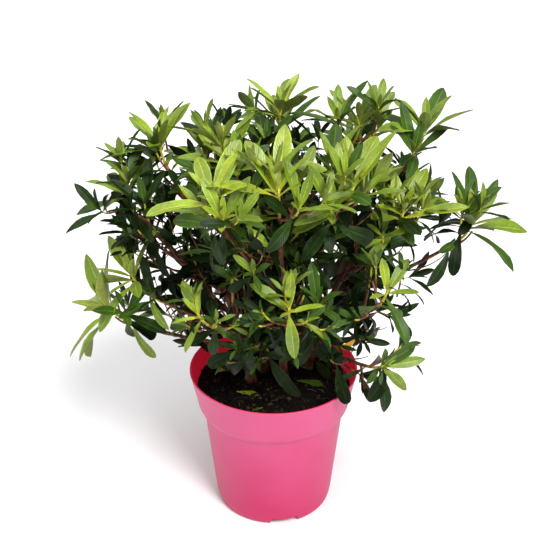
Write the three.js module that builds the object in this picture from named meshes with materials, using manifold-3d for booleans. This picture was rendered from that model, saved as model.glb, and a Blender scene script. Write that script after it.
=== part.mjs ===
// Azalea shrub in a plastic nursery pot. Millimetres, +Z up, the front of the plant towards -Y.
// The origin is the centre of the pot's underside, on the surface that the pot stands on.
// Five stems rise from the soil. Each leads into a mass of foliage and carries boughs that lead into others.
// A mass is a stem with side twigs, and every twig ends in a whorl of leaves.
import * as THREE from "three";
import { mergeVertices } from "three/addons/utils/BufferGeometryUtils.js";
import Module from "manifold-3d";

const wasm = await Module();
wasm.setup();

const UP = new THREE.Vector3(0, 0, 1);
const CLEARANCE = 0.3; // between two pieces that meet
const GOLDEN_ANGLE = 137.5; // degrees from one leaf or twig to the next round its stem

// ---------------------------------------------------------------- driving dimensions

const pot = {
  height: 119,
  lipRadius: 65,
  wall: 1.6,
  lipRound: 0.8,
  bandHeight: 34, // from the lip to the foot of the step
  bandFootRadius: 58.8,
  bodyTopRadius: 54.8,
  bodyFootRadius: 46.7,
  footRadius: 44.6,
  cornerHeight: 6.5, // the rounded corner between wall and underside
  floorHeight: 5.2, // the raised underside between the foot ring and the centre pad
  footRingWidth: 5,
  centrePadRadius: 11,
  sides: 32,
};
const footNotch = { width: 20, count: 4, firstAzimuth: 11 };
const drainHole = { radius: 4, reach: 26, count: 4, sides: 8 };
const soil = { edgeHeight: 104, crownHeight: 106, crownRadius: 42, sides: 32 };

// A stem stands on the soil at (azimuth, reach) and leads into the mass named in `leads`.
const stems = [
  { name: "stem_left", azimuth: -90, reach: 17, leads: "shoulder_left" },
  { name: "stem_front", azimuth: 60, reach: 9, leads: "front_centre" },
  { name: "stem_right", azimuth: 125, reach: 33, leads: "shoulder_right" },
  { name: "stem_back", azimuth: 172, reach: 34, leads: "back_top" },
  { name: "stem_centre", azimuth: -150, reach: 16, leads: "crown_top" },
];

// A mass of foliage has its leading whorl at [azimuth, reach, height]. Azimuth is in degrees from the front,
// positive to the right. `leaves` is how far up its stem the bough branches off, from 0 to 1. `turn` is the
// azimuth of its first side twig.
const masses = [
  { name: "crown_top", stem: "stem_centre", at: [163, 21, 322], turn: 20 },
  { name: "crown_top_right", stem: "stem_centre", leaves: 0.5, at: [100, 71, 317], turn: 90 },
  { name: "crown_top_left", stem: "stem_centre", leaves: 0.44, at: [-63, 42, 302], turn: 200 },
  { name: "front_right", stem: "stem_centre", leaves: 0.34, at: [35, 98, 304], turn: 60 },
  { name: "shoulder_left", stem: "stem_left", at: [-93, 86, 303], turn: 250 },
  { name: "side_left_upper", stem: "stem_left", leaves: 0.36, at: [-85, 113, 273], turn: 150 },
  { name: "side_left_mid", stem: "stem_left", leaves: 0.2, at: [-75, 113, 214], turn: 90 },
  { name: "side_left_low", stem: "stem_left", leaves: 0.14, at: [-85, 131, 176], turn: 35 },
  { name: "back_left", stem: "stem_left", leaves: 0.26, at: [-122, 124, 222], turn: 300 },
  { name: "front_centre", stem: "stem_front", at: [2, 96, 304], turn: 180 },
  { name: "front_left", stem: "stem_front", leaves: 0.46, at: [-27, 99, 300], turn: 120 },
  { name: "front_low_left", stem: "stem_front", leaves: 0.2, at: [-38, 94, 206], turn: 10 },
  { name: "front_low_centre", stem: "stem_front", leaves: 0.28, at: [6, 106, 226], turn: 80 },
  { name: "shoulder_right", stem: "stem_right", at: [90, 112, 313], turn: 310 },
  { name: "shoulder_right_front", stem: "stem_right", leaves: 0.36, at: [64, 104, 271], turn: 20 },
  { name: "side_right_upper", stem: "stem_right", leaves: 0.3, at: [82, 151, 250], turn: 75 },
  { name: "side_right_front", stem: "stem_right", leaves: 0.2, at: [43, 116, 228], turn: 140 },
  { name: "side_right_low", stem: "stem_right", leaves: 0.1, at: [58, 98, 148], turn: 215 },
  { name: "back_right", stem: "stem_right", leaves: 0.4, at: [122, 130, 240], turn: 0 },
  { name: "back_top", stem: "stem_back", at: [176, 88, 288], turn: 100 },
  { name: "back_top_left", stem: "stem_back", leaves: 0.46, at: [-140, 96, 274], turn: 330 },
  { name: "back_top_right", stem: "stem_back", leaves: 0.4, at: [134, 100, 280], turn: 230 },
  { name: "back_centre", stem: "stem_back", leaves: 0.3, at: [178, 134, 226], turn: 40 },
  { name: "back_low_left", stem: "stem_back", leaves: 0.16, at: [-150, 116, 168], turn: 190 },
  { name: "back_low_right", stem: "stem_back", leaves: 0.12, at: [146, 118, 166], turn: 270 },
];

const stemSize = { footRadius: 3.1, endRadius: 1.7, flare: 1.5, flareHeight: 9, sides: 7, steps: 8 };
const boughSize = { footRadius: 2.1, endRadius: 1.35, sides: 5, steps: 5 };
const stemRise = { out: 0.3, up: 0.56 }; // where a stem's curve is pulled to, as shares of its way out and up
const boughRise = { along: 0.5, sag: 0.1 }; // where a bough's curve is pulled to, and how far below its chord
const heartDepth = 16; // how far below its leading whorl a mass has its heart
const shortestLimb = 0.52; // the least share of its curve that a limb keeps before its mass begins

const twigSize = { stemRadius: 1.6, footRadius: 1.4, endRadius: 1.2, sides: 3, steps: 2 };
const twigRule = { count: 4, first: 0.06, last: 0.66, spread: 50, footLength: 42, tipLength: 22, lift: 0.33 };
const whorl = { leaves: 6, outerTilt: 62, innerTilt: 20, stagger: 12, inset: 1, innerShare: 0.62, turn: 60 };
const sideLeaves = { at: [0.55, 0.3], tilt: 62 };
const leafSize = { length: 42, width: 18, thickness: 1, thickest: 0.3, widest: 0.56, fold: 1.6, droop: 2.6 };
const leafSag = { low: 0.5, high: 0, lowHeight: 140, highHeight: 290 }; // leaves hang more the lower they are
const upright = { low: 0.3, high: 0.7, lowHeight: 150, highHeight: 270 }; // how far whorls turn up to the light

// ---------------------------------------------------------------- small tools

const radians = THREE.MathUtils.degToRad;
const mix = THREE.MathUtils.lerp;

/** A repeatable number from 0 to 1 for the k-th choice made about the thing with this seed. */
function draw(seed, k) {
  const x = Math.sin(seed * 12.9898 + k * 78.233) * 43758.5453;
  return x - Math.floor(x);
}

function polar(azimuth, reach, height) {
  const a = radians(azimuth);
  return new THREE.Vector3(reach * Math.sin(a), -reach * Math.cos(a), height);
}

/** A manifold-3d solid from a closed three.js geometry. */
function solidOf(geometry) {
  const bare = geometry.index ? geometry.toNonIndexed() : geometry.clone();
  bare.deleteAttribute("normal");
  bare.deleteAttribute("uv");
  const merged = mergeVertices(bare, 1e-4);
  return new wasm.Manifold(
    new wasm.Mesh({
      numProp: 3,
      vertProperties: merged.attributes.position.array,
      triVerts: new Uint32Array(merged.index.array),
    }),
  );
}

/** A three.js geometry from a manifold-3d solid, moved so that `foot` is its own origin. */
function geometryOf(solid, foot) {
  const { vertProperties, triVerts, numProp } = solid.getMesh();
  const position = new Float32Array((vertProperties.length / numProp) * 3);
  for (let i = 0; i * numProp < vertProperties.length; i++) {
    position.set(vertProperties.subarray(i * numProp, i * numProp + 3), i * 3);
  }
  const geometry = new THREE.BufferGeometry();
  geometry.setAttribute("position", new THREE.BufferAttribute(position, 3));
  geometry.setIndex(new THREE.BufferAttribute(triVerts, 1));
  geometry.translate(-foot.x, -foot.y, -foot.z);
  geometry.computeVertexNormals();
  return geometry;
}

/** Two directions square to `along` and to each other. */
function squareTo(along) {
  const reference = Math.abs(along.z) > 0.98 ? new THREE.Vector3(1, 0, 0) : UP;
  const first = new THREE.Vector3().crossVectors(along, reference).normalize();
  return [first, new THREE.Vector3().crossVectors(along, first)];
}

/** A closed ring-by-ring skin: rings of `sides` corners each, with flat ends. */
function skin(corners, sides) {
  const rings = corners.length / sides;
  const index = [];
  for (let i = 0; i + 1 < rings; i++) {
    for (let j = 0; j < sides; j++) {
      const [a, b] = [i * sides + j, i * sides + ((j + 1) % sides)];
      index.push(a, b, b + sides, a, b + sides, a + sides);
    }
  }
  const last = (rings - 1) * sides;
  for (let j = 1; j + 1 < sides; j++) {
    index.push(0, j + 1, j);
    index.push(last, last + j, last + j + 1);
  }
  const geometry = new THREE.BufferGeometry().setFromPoints(corners);
  geometry.setIndex(index);
  return geometry;
}

/** A tapering limb along `curve` from one share of it to another. A level foot stands flat on the soil. */
function limbGeometry(curve, from, to, radiusAt, { sides, steps }, levelFoot = false) {
  const corners = [];
  let across = squareTo(curve.getTangent(from))[0];
  for (let i = 0; i <= steps; i++) {
    const t = mix(from, to, i / steps);
    const along = levelFoot && i === 0 ? UP : curve.getTangent(t);
    across = across.clone().addScaledVector(along, -across.dot(along)).normalize();
    const aside = new THREE.Vector3().crossVectors(along, across);
    const centre = curve.getPoint(t);
    const radius = radiusAt(t);
    for (let j = 0; j < sides; j++) {
      const turn = (2 * Math.PI * j) / sides;
      corners.push(
        centre
          .clone()
          .addScaledVector(across, radius * Math.cos(turn))
          .addScaledVector(aside, radius * Math.sin(turn)),
      );
    }
  }
  return skin(corners, sides);
}

// ---------------------------------------------------------------- pot and soil

/** A solid turned round +Z from a profile of (radius, height) points that starts and ends on the axis. */
function turned(profile, sides) {
  const points = profile.map(([radius, height]) => new THREE.Vector2(radius, height));
  return solidOf(new THREE.LatheGeometry(points, sides).rotateX(Math.PI / 2));
}

/** The inner radius of the pot's body, below the step, or of its band, above it. */
function innerRadius(height) {
  const step = pot.height - pot.bandHeight;
  const outer =
    height < step
      ? mix(pot.bodyFootRadius, pot.bodyTopRadius, (height - pot.cornerHeight) / (step - pot.cornerHeight))
      : mix(pot.bandFootRadius, pot.lipRadius, (height - step) / pot.bandHeight);
  return outer - pot.wall;
}

function makePot() {
  const step = pot.height - pot.bandHeight;
  const stepRise = pot.bandFootRadius - pot.bodyTopRadius;
  const floorTop = pot.floorHeight + pot.wall;
  const lip = pot.height - pot.lipRound;
  const profile = [
    [0, 0],
    [pot.centrePadRadius, 0],
    [pot.centrePadRadius + 1, pot.floorHeight],
    [pot.footRadius - pot.footRingWidth - 1, pot.floorHeight],
    [pot.footRadius - pot.footRingWidth, 0],
    [pot.footRadius, 0],
    [pot.footRadius + 1.4, pot.cornerHeight / 3],
    [pot.bodyFootRadius, pot.cornerHeight],
    [pot.bodyTopRadius, step],
    [pot.bandFootRadius, step + stepRise],
    [pot.lipRadius, lip],
    [pot.lipRadius - pot.lipRound / 2, pot.height],
    [pot.lipRadius - pot.wall, pot.height],
    [innerRadius(lip) - pot.lipRound / 2, lip - pot.lipRound],
    [pot.bandFootRadius - pot.wall, step + stepRise + pot.wall / 2],
    [pot.bodyTopRadius - pot.wall, step + pot.wall / 2],
    [innerRadius(floorTop + 3), floorTop + 3],
    [pot.footRadius - pot.wall, floorTop],
    [0, floorTop],
  ];
  let solid = turned(profile, pot.sides);
  for (let i = 0; i < footNotch.count; i++) {
    const notch = new THREE.BoxGeometry(footNotch.width, 3 * pot.footRingWidth, 2 * pot.floorHeight);
    notch.translate(0, -pot.footRadius, 0);
    notch.rotateZ(radians(footNotch.firstAzimuth + (360 / footNotch.count) * i));
    solid = solid.subtract(solidOf(notch));
  }
  for (let i = 0; i < drainHole.count; i++) {
    const { radius, reach, sides } = drainHole;
    const hole = new THREE.CylinderGeometry(radius, radius, 4 * floorTop, sides);
    hole.rotateX(Math.PI / 2);
    hole.translate(0, -reach, 0);
    hole.rotateZ(radians(footNotch.firstAzimuth + (360 / drainHole.count) * (i + 0.5)));
    solid = solid.subtract(solidOf(hole));
  }
  return solid;
}

function makeSoil() {
  const step = pot.height - pot.bandHeight;
  const foot = pot.floorHeight + pot.wall + CLEARANCE;
  const fit = (height) => innerRadius(height) - 2 * CLEARANCE;
  return turned(
    [
      [0, foot],
      [pot.footRadius - pot.wall - 2 * CLEARANCE, foot],
      [fit(foot + 3), foot + 3],
      [fit(step - 1), step - 1],
      [fit(step - 1), step + 3],
      [fit(soil.edgeHeight) - 1, soil.edgeHeight],
      [soil.crownRadius, soil.crownHeight],
      [0, soil.crownHeight],
    ],
    soil.sides,
  );
}

/** The pot and soil as one plain body with a margin, for keeping twigs and leaves off them. */
function potKeepOut(margin) {
  return turned(
    [
      [0, 0],
      [pot.bodyFootRadius + margin, 0],
      [pot.bodyTopRadius + margin, pot.height - pot.bandHeight],
      [pot.lipRadius + margin, pot.height - pot.bandHeight],
      [pot.lipRadius + margin, pot.height + margin],
      [pot.lipRadius - 3 * margin, pot.height + margin],
      [pot.lipRadius - 5 * margin, soil.crownHeight + margin],
      [0, soil.crownHeight + margin],
    ],
    pot.sides / 2,
  );
}

// ---------------------------------------------------------------- stems and boughs

const whorlOf = (mass) => polar(...mass.at);

function stemCurve(stem) {
  const mass = masses.find((m) => m.name === stem.leads);
  const foot = polar(stem.azimuth, stem.reach, soil.crownHeight + CLEARANCE);
  const tip = whorlOf(mass);
  const pull = new THREE.Vector3(
    mix(foot.x, tip.x, stemRise.out),
    mix(foot.y, tip.y, stemRise.out),
    mix(foot.z, tip.z, stemRise.up),
  );
  return new THREE.QuadraticBezierCurve3(foot, pull, tip);
}

function boughCurve(mass, parentCurve) {
  const foot = parentCurve.getPoint(mass.leaves);
  const tip = whorlOf(mass);
  const chord = tip.distanceTo(foot);
  const pull = foot.clone().lerp(tip, boughRise.along);
  pull.z -= boughRise.sag * chord;
  return new THREE.QuadraticBezierCurve3(foot, pull, tip);
}

/** Whether a point is nearer to this mass's heart than to any other's, and `margin` from the plane between. */
function inSpace(mass, point, margin) {
  return masses.every((other) => {
    if (other === mass) return true;
    const apart = other.heart.distanceTo(mass.heart);
    const depth = (point.distanceToSquared(other.heart) - point.distanceToSquared(mass.heart)) / (2 * apart);
    return depth > margin;
  });
}

/** The share of a mass's curve where the limb ends and the mass's own stem begins, inside the mass's space. */
function limbEnd(mass) {
  const samples = 100;
  let end = shortestLimb;
  for (let i = Math.round(shortestLimb * samples); i < samples; i++) {
    if (!inSpace(mass, mass.curve.getPoint(i / samples), 2.5)) end = (i + 1) / samples;
  }
  return end;
}

const stemCurves = new Map(stems.map((stem) => [stem.name, stemCurve(stem)]));
for (const mass of masses) {
  const parent = stemCurves.get(mass.stem);
  mass.curve = mass.leaves === undefined ? parent : boughCurve(mass, parent);
  mass.heart = whorlOf(mass).addScaledVector(mass.curve.getTangent(1), -heartDepth);
}
for (const mass of masses) mass.end = limbEnd(mass);

function stemRadius(mass, margin) {
  return (t) => {
    const flare = Math.exp((-t * mass.curve.getLength()) / stemSize.flareHeight);
    const plain = mix(stemSize.footRadius, stemSize.endRadius, t / mass.end);
    return plain * mix(1, stemSize.flare, flare) + margin;
  };
}

function boughRadius(mass, margin) {
  return (t) => mix(boughSize.footRadius, boughSize.endRadius, t / mass.end) + margin;
}

/** The stem or bough that leads to a mass, thicker by `margin`. A bough is cut clear of its stem. */
function limbSolid(mass, margin = 0) {
  if (mass.leaves === undefined) {
    return solidOf(limbGeometry(mass.curve, 0, mass.end, stemRadius(mass, margin), stemSize, true));
  }
  const whole = solidOf(limbGeometry(mass.curve, 0, mass.end, boughRadius(mass, margin), boughSize));
  if (margin > 0) return whole;
  const parent = masses.find((m) => m.stem === mass.stem && m.leaves === undefined);
  return largestPart(whole.subtract(limbSolid(parent, CLEARANCE)));
}

/** The largest body of a solid, without loose scraps and with sealed hollows filled. */
function largestPart(solid) {
  return solid.decompose().reduce((best, body) => (body.volume() > best.volume() ? body : best));
}

// ---------------------------------------------------------------- foliage

/** A thin folded leaf of eight faces. Its root is a point inside the twig, and its tip hangs by `droop`. */
function leafGeometry({ root, along, face, length, width, droop }) {
  const aside = new THREE.Vector3().crossVectors(face, along);
  const at = (forward, sideways, upward) =>
    root
      .clone()
      .addScaledVector(along, forward * length)
      .addScaledVector(aside, sideways)
      .addScaledVector(face, upward);
  const rib = leafSize.thickness / 2;
  const corners = [
    at(0, 0, 0),
    at(leafSize.thickest, 0, rib),
    at(leafSize.thickest, 0, -rib),
    at(leafSize.widest, width / 2, leafSize.fold),
    at(leafSize.widest, -width / 2, leafSize.fold),
    at(1, 0, -droop),
  ];
  const geometry = new THREE.BufferGeometry().setFromPoints(corners);
  geometry.setIndex([0, 1, 3, 0, 4, 1, 5, 3, 1, 5, 1, 4, 0, 3, 2, 0, 2, 4, 5, 2, 3, 5, 4, 2]);
  return geometry;
}

/** The point at t on the straight steps that a twig is made of, from `from` to its tip. */
function onTwig(curve, from, t) {
  const step = (1 - from) / twigSize.steps;
  const below = from + step * Math.min(Math.floor((t - from) / step), twigSize.steps - 1);
  return curve.getPoint(below).lerp(curve.getPoint(below + step), (t - below) / step);
}

/** A value that depends on height: `low` up to the low height, `high` from the high height, and even between. */
function byHeight({ low, high, lowHeight, highHeight }, height) {
  return mix(low, high, THREE.MathUtils.clamp((height - lowHeight) / (highHeight - lowHeight), 0, 1));
}

/**
 * Where a leaf grows at t on a twig's curve. It stands `tilt` degrees off a direction between the twig's own and
 * straight up, and `azimuth` degrees round that, and its weight turns it down.
 */
function leafPlace(curve, from, t, azimuth, tilt, length, seed) {
  const root = onTwig(curve, from, t);
  const twigAlong = curve.getTangent(t).lerp(UP, byHeight(upright, root.z)).normalize();
  const [first, second] = squareTo(twigAlong);
  const [lean, turn] = [radians(tilt), radians(azimuth)];
  const along = twigAlong
    .clone()
    .multiplyScalar(Math.cos(lean))
    .addScaledVector(first, Math.sin(lean) * Math.cos(turn))
    .addScaledVector(second, Math.sin(lean) * Math.sin(turn))
    .addScaledVector(UP, -byHeight(leafSag, root.z) * Math.sin(lean))
    .normalize();
  const face = twigAlong.clone().addScaledVector(along, -twigAlong.dot(along)).normalize();
  const size = length * mix(0.86, 1.14, draw(seed, 1));
  return {
    root,
    along,
    face,
    length: size,
    width: (leafSize.width / leafSize.length) * size,
    droop: leafSize.droop * mix(0.4, 1.6, draw(seed, 2)),
  };
}

/** The leaves of one shoot: a whorl at its tip, steep and small inside, flat and long outside, and two leaves below. */
function shootLeaves(curve, from, seed) {
  const reach = curve.getLength();
  const phase = 90 + whorl.turn * (draw(seed, 3) - 0.5);
  const leaves = [];
  for (let i = 0; i < whorl.leaves; i++) {
    const inward = i / (whorl.leaves - 1);
    const t = 1 - (whorl.stagger * (1 - inward) + whorl.inset) / reach;
    const tilt = mix(whorl.outerTilt, whorl.innerTilt, inward) + 12 * (draw(seed, 10 + i) - 0.5);
    const length = leafSize.length * mix(1, whorl.innerShare, inward);
    leaves.push(leafPlace(curve, from, t, phase + GOLDEN_ANGLE * i, tilt, length, seed * 31 + i));
  }
  sideLeaves.at.forEach((share, i) => {
    const t = mix(from, 1, share);
    const azimuth = phase - GOLDEN_ANGLE * (i + 1);
    leaves.push(leafPlace(curve, from, t, azimuth, sideLeaves.tilt, leafSize.length, seed * 31 + 20 + i));
  });
  return leaves;
}

/** The side twigs of a mass: they spread round its stem by the golden angle and bend upwards. */
function sideTwigs(mass, seed) {
  return Array.from({ length: twigRule.count }, (_, i) => {
    const share = i / (twigRule.count - 1);
    const t = mix(mass.end, 1, mix(twigRule.first, twigRule.last, share));
    const root = onTwig(mass.curve, mass.end, t);
    const stemAlong = mass.curve.getTangent(t);
    const [first, second] = squareTo(stemAlong);
    const azimuth = radians(mass.turn + GOLDEN_ANGLE * i);
    const spread = radians(twigRule.spread * mix(0.85, 1.15, draw(seed, 40 + i)));
    const along = stemAlong
      .clone()
      .multiplyScalar(Math.cos(spread))
      .addScaledVector(first, Math.sin(spread) * Math.cos(azimuth))
      .addScaledVector(second, Math.sin(spread) * Math.sin(azimuth));
    const length = mix(twigRule.footLength, twigRule.tipLength, share) * mix(0.85, 1.15, draw(seed, 50 + i));
    const pull = root.clone().addScaledVector(along, length / 2);
    const tip = root
      .clone()
      .addScaledVector(along, length * (1 - twigRule.lift / 2))
      .addScaledVector(UP, length * twigRule.lift);
    return new THREE.QuadraticBezierCurve3(root, pull, tip);
  });
}

/** One mass of foliage: the twigs and leaves that fit in its space and touch no limb, fused into one body. */
function makeMass(mass, number, keepOut) {
  const seed = number + 1;
  const corner = new THREE.Vector3();
  const fits = (geometry, solid) => {
    const position = geometry.attributes.position;
    for (let i = 0; i < position.count; i++) {
      if (!inSpace(mass, corner.fromBufferAttribute(position, i), CLEARANCE)) return false;
    }
    return solid.intersect(keepOut).isEmpty();
  };
  const taper = (from, footRadius) => (t) => mix(footRadius, twigSize.endRadius, (t - from) / (1 - from));
  const twig = (curve, from, footRadius) => limbGeometry(curve, from, 1, taper(from, footRadius), twigSize);

  const start = mass.end + CLEARANCE / mass.curve.getLength() + 0.001;
  const twigs = [solidOf(twig(mass.curve, start, twigSize.stemRadius))];
  const shoots = [{ curve: mass.curve, from: start }];
  for (const curve of sideTwigs(mass, seed)) {
    const geometry = twig(curve, 0, twigSize.footRadius);
    const solid = solidOf(geometry);
    if (!fits(geometry, solid)) continue;
    twigs.push(solid);
    shoots.push({ curve, from: 0 });
  }

  const blades = [];
  shoots.forEach(({ curve, from }, own) => {
    for (const leaf of shootLeaves(curve, from, seed * 17 + own)) {
      const geometry = leafGeometry(leaf);
      const blade = solidOf(geometry);
      const others = [...blades, ...twigs.filter((_, i) => i !== own)];
      const clear = others.every((other) => blade.intersect(other).isEmpty());
      if (clear && fits(geometry, blade)) blades.push(blade);
    }
  });
  return largestPart(wasm.Manifold.union([...twigs, ...blades]));
}

// ---------------------------------------------------------------- the plant

const plastic = new THREE.MeshStandardMaterial({ color: "#e2588f", roughness: 0.5, metalness: 0 });
const peat = new THREE.MeshStandardMaterial({ color: "#2a211c", roughness: 1, metalness: 0 });
const bark = new THREE.MeshStandardMaterial({ color: "#6b4636", roughness: 0.85, metalness: 0 });
const leafGreen = new THREE.MeshStandardMaterial({ color: "#4f7a2a", roughness: 0.55, metalness: 0 });

const azalea = new THREE.Group();

/** Adds a solid to the group as a named mesh whose own origin is at `foot`. */
function place(name, solid, material, foot = new THREE.Vector3()) {
  const mesh = new THREE.Mesh(geometryOf(solid, foot), material);
  mesh.name = name;
  mesh.position.copy(foot);
  azalea.add(mesh);
}

place("pot", makePot(), plastic);
place("soil", makeSoil(), peat);
for (const mass of masses) {
  const stem = stems.find((s) => s.leads === mass.name);
  const name = stem ? stem.name : `bough_${mass.name}`;
  place(name, limbSolid(mass), bark, mass.curve.getPoint(0));
}
const keepOut = wasm.Manifold.union([...masses.map((mass) => limbSolid(mass, 2 * CLEARANCE)), potKeepOut(2)]);
masses.forEach((mass, number) => {
  place(`foliage_${mass.name}`, makeMass(mass, number, keepOut), leafGreen, mass.curve.getPoint(mass.end));
});

export default azalea;
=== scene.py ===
# %% [markdown]
# # An azalea in its nursery pot
# The plant is a young evergreen azalea with no flowers: thin woody stems, boughs that fork off them, and
# twigs that end in whorls of narrow leaves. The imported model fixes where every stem, bough and mass of
# leaves is, so this lesson starts from it and only dresses it: nothing is moved or resized. The order is
# helpers, camera and light, pot, soil, wood, and last the leaves, which are the most work.

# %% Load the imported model
import math

import bpy
import numpy as np
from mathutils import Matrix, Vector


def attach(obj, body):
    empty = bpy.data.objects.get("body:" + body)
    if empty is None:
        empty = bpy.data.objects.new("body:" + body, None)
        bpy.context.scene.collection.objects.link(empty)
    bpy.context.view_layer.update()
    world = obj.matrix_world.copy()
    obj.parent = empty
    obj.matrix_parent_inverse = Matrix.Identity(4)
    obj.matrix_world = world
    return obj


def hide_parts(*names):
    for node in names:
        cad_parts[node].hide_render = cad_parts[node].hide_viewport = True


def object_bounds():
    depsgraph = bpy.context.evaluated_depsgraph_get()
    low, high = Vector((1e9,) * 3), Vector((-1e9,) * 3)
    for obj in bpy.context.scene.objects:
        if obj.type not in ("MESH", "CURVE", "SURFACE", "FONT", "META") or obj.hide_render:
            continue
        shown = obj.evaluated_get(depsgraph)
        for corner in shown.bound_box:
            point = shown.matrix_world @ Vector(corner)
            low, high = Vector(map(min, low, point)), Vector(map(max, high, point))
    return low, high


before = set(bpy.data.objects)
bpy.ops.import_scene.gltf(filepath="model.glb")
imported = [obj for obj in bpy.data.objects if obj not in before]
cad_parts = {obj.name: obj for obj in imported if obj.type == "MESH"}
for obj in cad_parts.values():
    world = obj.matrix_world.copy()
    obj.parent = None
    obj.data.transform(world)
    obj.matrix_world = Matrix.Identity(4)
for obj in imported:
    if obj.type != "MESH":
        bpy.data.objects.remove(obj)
cad_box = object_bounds()
cad_low, cad_high = (tuple(round(c, 3) for c in corner) for corner in cad_box)
print("frame: %d nodes, box %s to %s m" % (len(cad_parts), cad_low, cad_high))

# %% [markdown]
# ## Points, directions and repeatable chance
# A plant is made of many small choices, and a lesson has to come out the same each time. So chance is a
# formula of a seed and a counter and not a generator with a state: any choice can be worked out on its own.
# All sizes are in millimetres, the gardener's unit for leaves, and become metres only when a mesh is made.

# %% Vectors and chance
MM = 0.001
UP = np.array([0.0, 0.0, 1.0])
GOLDEN_ANGLE = 137.5  # degrees from one leaf to the next round its twig, so that no leaf shades the one below
FULL_PHASE = 6.28  # radians that a wave's drawn start is spread over


def draw(seed, k):
    """A number from 0 to 1 for choice k: sin(12.9898 seed + 78.233 k) 43758.5453, less its whole part."""
    x = np.sin(np.asarray(seed, float) * 12.9898 + np.asarray(k, float) * 78.233) * 43758.5453
    return x - np.floor(x)


def mix(a, b, share):
    """The value that lies share of the way from a to b: a + (b - a) share."""
    return a + (b - a) * share


def unit(v):
    """Each vector over its own length."""
    return v / np.linalg.norm(v, axis=-1, keepdims=True)


def polar(azimuth, reach, height):
    """The point at an azimuth in degrees, clockwise from the front (-Y) as seen from above."""
    a = math.radians(azimuth)
    return np.array([reach * math.sin(a), -reach * math.cos(a), height])


def waves(x, y, z, size, seed):
    """Smooth noise from about -1 to 1: six sine waves of about `size` mm in drawn directions, added up."""
    total = np.zeros(np.broadcast(x, y, z).shape)
    for k in range(6):
        way = unit(np.array([draw(seed, 3 * k + i) - 0.5 for i in range(3)]))
        pace = 2 * np.pi / size * mix(0.7, 1.4, draw(seed, 50 + k))
        total += np.sin(pace * (x * way[0] + y * way[1] + z * way[2]) + FULL_PHASE * draw(seed, 70 + k))
    return total / 2.4


print("golden angle steps:", [round((GOLDEN_ANGLE * i) % 360) for i in range(6)])

# %% [markdown]
# ## From arrays to meshes
# Every piece here is a set of closed skins: rings of corners along a path, joined side by side, with a fan
# of quads over each end. A stem is one such skin with a round ring. A leaf is one too, with a flat folded
# ring. Working on whole arrays lets one call make a thousand leaves.


# %% Skins and pieces
def skins(rings):
    """Points and faces of closed skins. rings[b, i, j] is corner j of ring i of body b, anticlockwise from
    ahead. Side faces join corners j, j + 1 of rings i, i + 1, and fans of quads close the ends."""
    bodies, steps, sides = rings.shape[:3]
    i, j = (a.ravel() for a in np.meshgrid(np.arange(steps - 1), np.arange(sides), indexing="ij"))
    k = (j + 1) % sides
    walls = np.stack([i * sides + j, i * sides + k, (i + 1) * sides + k, (i + 1) * sides + j], -1)
    start = np.array([[0, c + 2, c + 1, c] for c in range(1, sides - 2, 2)])
    end = (steps - 1) * sides + start[:, ::-1]
    faces = np.concatenate([walls, start, end])
    offset = np.arange(bodies)[:, None, None] * steps * sides
    return rings.reshape(-1, 3), (faces[None] + offset).reshape(-1, 4)


def new_piece(name, points, faces, materials, slots=None, sharp=None, layers=None):
    """A smooth mesh object. points are in mm and faces hold four corners each. slots gives each face its
    material, sharp marks corners whose shared edges stay crisp, layers has corner values by name."""
    mesh = bpy.data.meshes.new(name)
    mesh.vertices.add(len(points))
    mesh.vertices.foreach_set("co", (points * MM).astype(np.float32).ravel())
    mesh.loops.add(faces.size)
    mesh.loops.foreach_set("vertex_index", faces.astype(np.int32).ravel())
    mesh.polygons.add(len(faces))
    mesh.polygons.foreach_set("loop_start", np.arange(len(faces), dtype=np.int32) * 4)
    for material in materials:
        mesh.materials.append(material)
    if slots is not None:
        mesh.polygons.foreach_set("material_index", slots.astype(np.int32))
    mesh.update(calc_edges=True)
    mesh.shade_smooth()
    if sharp is not None:
        ends = np.empty(len(mesh.edges) * 2, np.int32)
        mesh.edges.foreach_get("vertices", ends)
        mesh.edges.foreach_set("use_edge_sharp", sharp[ends].reshape(-1, 2).all(1))
    for layer, values in (layers or {}).items():
        mesh.attributes.new(layer, "FLOAT", "POINT").data.foreach_set("value", values.astype(np.float32))
    piece = bpy.data.objects.new(name, mesh)
    bpy.context.scene.collection.objects.link(piece)
    return piece


def keep(piece, slot, *nodes):
    """The piece rides on the one body and stands for these nodes, which it hides. slot is not used."""
    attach(piece, "root")
    if nodes:
        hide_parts(*nodes)
    print("%s: %d faces, in place of %d nodes" % (piece.name, len(piece.data.polygons), len(nodes)))


# %% [markdown]
# ## Camera, floor and light
# The plant is seen from a little above, as it stands on a white table. The light is that of a
# photographer's white tent: bright from all sides, with one broad lamp above and to the left that gives the
# leaves their highlights.

# %% Camera
camera_place = np.array([2.3, -656.9, 535.9])
camera_pitch = 27.3  # degrees below level
camera_lens, sensor_width = 64.97, 36.0

camera = bpy.data.objects.new("camera", bpy.data.cameras.new("camera"))
camera.data.lens = camera_lens
camera.data.sensor_width = sensor_width
camera.location = camera_place * MM
camera.rotation_euler = (math.radians(90 - camera_pitch), 0, 0)
bpy.context.scene.collection.objects.link(camera)
bpy.context.scene.camera = camera
print("camera: %d mm from the pot's axis" % -camera_place[1])

# %% [markdown]
# A finish is a graph of nodes. One helper adds a node with its settings and links, and every material below
# is built from it. Colours are written as the hex values that a paint chart gives and are turned to linear
# light.


# %% Nodes and colours
def linear(colour):
    """An sRGB hex colour as linear RGBA: ((c + 0.055) / 1.055) ^ 2.4 a channel, or c / 12.92 if dark."""
    channels = [int(colour[i : i + 2], 16) / 255 for i in (1, 3, 5)]
    return (*(c / 12.92 if c <= 0.04045 else ((c + 0.055) / 1.055) ** 2.4 for c in channels), 1.0)


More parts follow.
